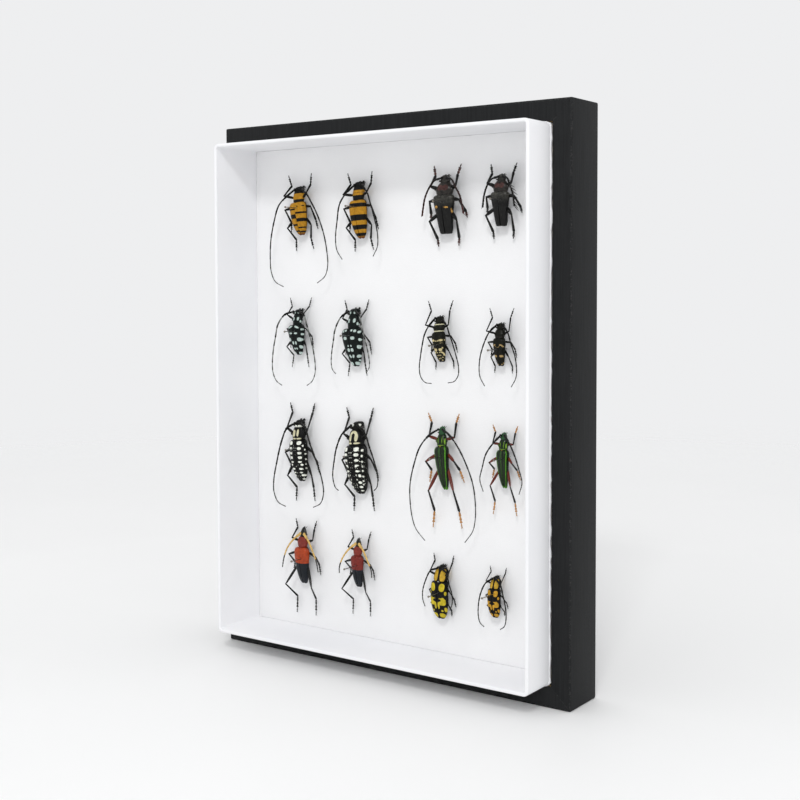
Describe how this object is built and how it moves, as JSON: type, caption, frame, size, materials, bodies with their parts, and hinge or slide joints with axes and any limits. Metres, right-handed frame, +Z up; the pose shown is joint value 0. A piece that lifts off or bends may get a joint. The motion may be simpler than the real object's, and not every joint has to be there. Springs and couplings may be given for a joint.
{
  "type": "beetle specimen box",
  "caption": "Upright specimen box: a black covered case holds a white tray whose foam floor carries pairs of pinned longhorn beetles.",
  "frame": {"origin": "middle of the bottom of the whole box, on the surface it stands on", "axes": "+Z up along the box's height, +X to the right as seen from the open front, +Y from the open front to the back"},
  "size_m": [0.229, 0.0508, 0.305],
  "materials": {
    "case_cover": "matte",
    "tray_cover": "matte",
    "foam": "matte",
    "pin_steel": "satin",
    "banded_beetle": "satin",
    "saw_horned_beetle": "satin",
    "blue_spotted_beetle": "satin",
    "speckled_beetle": "satin",
    "pearl_spotted_beetle": "satin",
    "green_beetle": "satin",
    "red_shouldered_beetle": "satin",
    "yellow_patched_beetle": "satin"
  },
  "bodies": {
    "root": {"case": "case_cover", "tray": "tray_cover", "foam_floor": "foam", "banded_longhorn_left": "banded_beetle", "banded_longhorn_right": "banded_beetle", "saw_horned_longhorn_left": "saw_horned_beetle", "saw_horned_longhorn_right": "saw_horned_beetle", "blue_spotted_longhorn_left": "blue_spotted_beetle", "blue_spotted_longhorn_right": "blue_spotted_beetle", "speckled_longhorn_left": "speckled_beetle", "speckled_longhorn_right": "speckled_beetle", "pearl_spotted_longhorn_left": "pearl_spotted_beetle", "pearl_spotted_longhorn_right": "pearl_spotted_beetle", "green_longhorn_left": "green_beetle", "green_longhorn_right": "green_beetle", "red_shouldered_longhorn_left": "red_shouldered_beetle", "red_shouldered_longhorn_right": "red_shouldered_beetle", "yellow_patched_longhorn_left": "yellow_patched_beetle", "yellow_patched_longhorn_right": "yellow_patched_beetle", "banded_longhorn_left_pin": "pin_steel", "banded_longhorn_right_pin": "pin_steel", "saw_horned_longhorn_left_pin": "pin_steel", "saw_horned_longhorn_right_pin": "pin_steel", "blue_spotted_longhorn_left_pin": "pin_steel", "blue_spotted_longhorn_right_pin": "pin_steel", "speckled_longhorn_left_pin": "pin_steel", "speckled_longhorn_right_pin": "pin_steel", "pearl_spotted_longhorn_left_pin": "pin_steel", "pearl_spotted_longhorn_right_pin": "pin_steel", "green_longhorn_left_pin": "pin_steel", "green_longhorn_right_pin": "pin_steel", "red_shouldered_longhorn_left_pin": "pin_steel", "red_shouldered_longhorn_right_pin": "pin_steel", "yellow_patched_longhorn_left_pin": "pin_steel", "yellow_patched_longhorn_right_pin": "pin_steel"}
  },
  "joints": []
}
